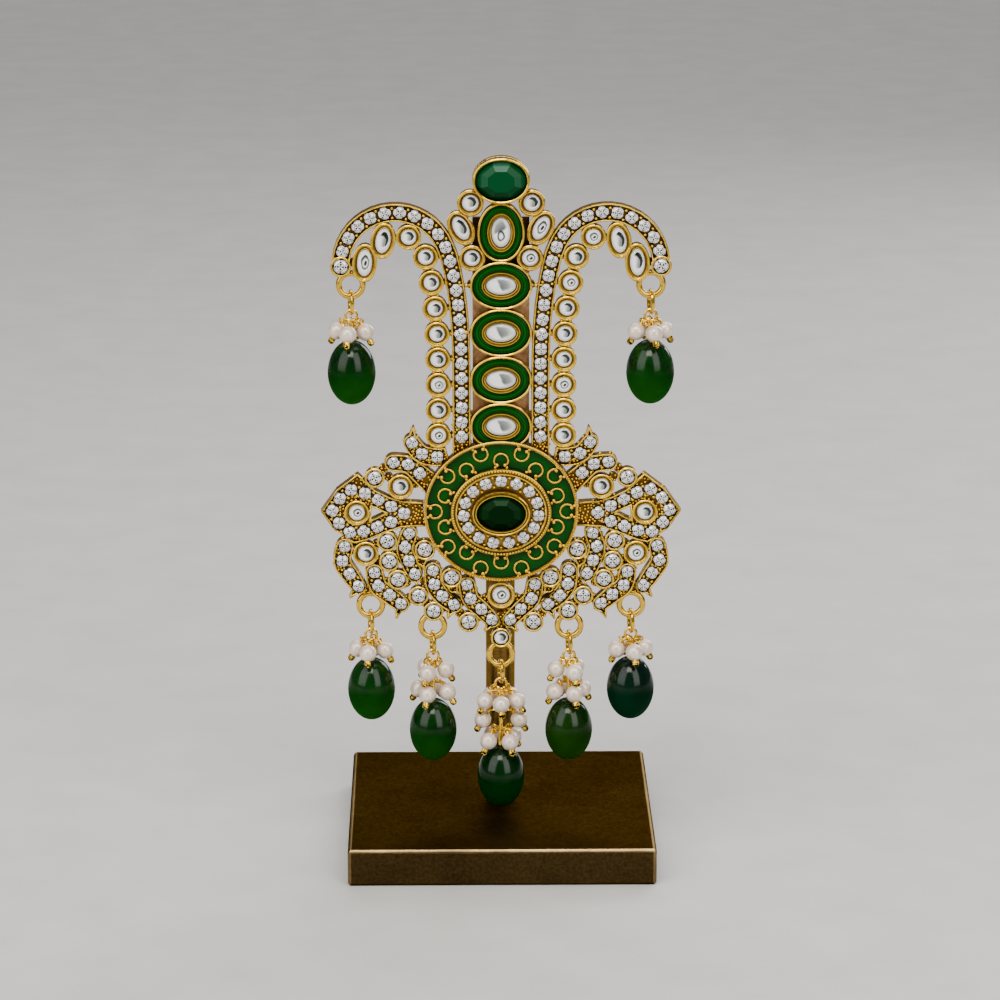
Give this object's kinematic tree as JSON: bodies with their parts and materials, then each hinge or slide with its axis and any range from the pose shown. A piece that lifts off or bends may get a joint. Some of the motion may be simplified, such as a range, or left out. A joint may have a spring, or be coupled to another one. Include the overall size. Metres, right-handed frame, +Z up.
{
  "type": "turban ornament on display stand",
  "caption": "Gilt turban ornament with enamel, white stones and hanging green drops, standing on a brass post over a square plate.",
  "frame": {"origin": "centre of the stand's underside, on the surface it stands on", "axes": "+Z up, the ornament faces -Y, +X to the viewer's right"},
  "size_m": [0.0718, 0.0616, 0.1435],
  "materials": {
    "gilt": "antique gold plate, dark in its recesses",
    "strap_gold": "pale matt gold",
    "post_brass": "brushed",
    "stand_brass": "brushed and browned, bright along the edges",
    "enamel": "translucent green over an engraved ground",
    "white_stone": "cut and polished, foiled behind",
    "foiled_glass": "polished, silver foil behind",
    "green_stone": "cut and polished",
    "green_glass": "polished",
    "pearl": "pearl lustre"
  },
  "bodies": {
    "ornament_and_stand": {"stand_plate": "stand_brass", "stand_post": "post_brass", "turban_pin": "post_brass", "back_strap": "strap_gold", "column_frame": "gilt", "plume_left": "gilt", "plume_right": "gilt", "wing_frame": "gilt", "medallion_frame": "gilt", "medallion_enamel": "enamel", "column_enamel_1": "enamel", "column_enamel_2": "enamel", "column_enamel_3": "enamel", "column_enamel_4": "enamel", "column_enamel_5": "enamel", "column_stone_1": "foiled_glass", "column_stone_2": "foiled_glass", "column_stone_3": "foiled_glass", "column_stone_4": "foiled_glass", "column_stone_5": "foiled_glass", "crown_stone": "green_stone", "centre_stone": "green_stone", "medallion_pave": "white_stone", "side_stones": "foiled_glass", "plume_pave_left": "white_stone", "plume_pave_right": "white_stone", "plume_stones_left": "foiled_glass", "plume_stones_right": "foiled_glass", "wing_pave_left": "white_stone", "wing_pave_right": "white_stone", "wing_stones": "foiled_glass"},
    "hook_left_drop": {"hook_left_ring": "gilt", "hook_left_wire": "gilt", "hook_left_bead": "green_glass", "hook_left_pearls": "pearl"},
    "hook_right_drop": {"hook_right_ring": "gilt", "hook_right_wire": "gilt", "hook_right_bead": "green_glass", "hook_right_pearls": "pearl"},
    "outer_left_drop": {"outer_left_ring": "gilt", "outer_left_wire": "gilt", "outer_left_bead": "green_glass", "outer_left_pearls": "pearl"},
    "outer_right_drop": {"outer_right_ring": "gilt", "outer_right_wire": "gilt", "outer_right_bead": "green_glass", "outer_right_pearls": "pearl"},
    "inner_left_drop": {"inner_left_ring": "gilt", "inner_left_wire": "gilt", "inner_left_bead": "green_glass", "inner_left_pearls": "pearl"},
    "inner_right_drop": {"inner_right_ring": "gilt", "inner_right_wire": "gilt", "inner_right_bead": "green_glass", "inner_right_pearls": "pearl"},
    "main_drop": {"main_ring": "gilt", "main_wire": "gilt", "main_bead": "green_glass", "main_pearls": "pearl"}
  },
  "joints": [
    {"name": "hook_left_swing", "type": "hinge", "parent": "ornament_and_stand", "child": "hook_left_drop", "pos_m": [-0.0295, -0.0094, 0.11545], "axis": [1, 0, 0], "range_deg": [-60, 60]},
    {"name": "hook_right_swing", "type": "hinge", "parent": "ornament_and_stand", "child": "hook_right_drop", "pos_m": [0.0295, -0.0094, 0.11545], "axis": [1, 0, 0], "range_deg": [-60, 60]},
    {"name": "outer_left_swing", "type": "hinge", "parent": "ornament_and_stand", "child": "outer_left_drop", "pos_m": [-0.0261, -0.0094, 0.04985], "axis": [1, 0, 0], "range_deg": [-60, 60]},
    {"name": "outer_right_swing", "type": "hinge", "parent": "ornament_and_stand", "child": "outer_right_drop", "pos_m": [0.0261, -0.0094, 0.04985], "axis": [1, 0, 0], "range_deg": [-60, 60]},
    {"name": "inner_left_swing", "type": "hinge", "parent": "ornament_and_stand", "child": "inner_left_drop", "pos_m": [-0.0137, -0.0094, 0.04535], "axis": [1, 0, 0], "range_deg": [-60, 60]},
    {"name": "inner_right_swing", "type": "hinge", "parent": "ornament_and_stand", "child": "inner_right_drop", "pos_m": [0.0137, -0.0094, 0.04535], "axis": [1, 0, 0], "range_deg": [-60, 60]},
    {"name": "main_swing", "type": "hinge", "parent": "ornament_and_stand", "child": "main_drop", "pos_m": [0, -0.0094, 0.03935], "axis": [1, 0, 0], "range_deg": [-60, 3]}
  ]
}
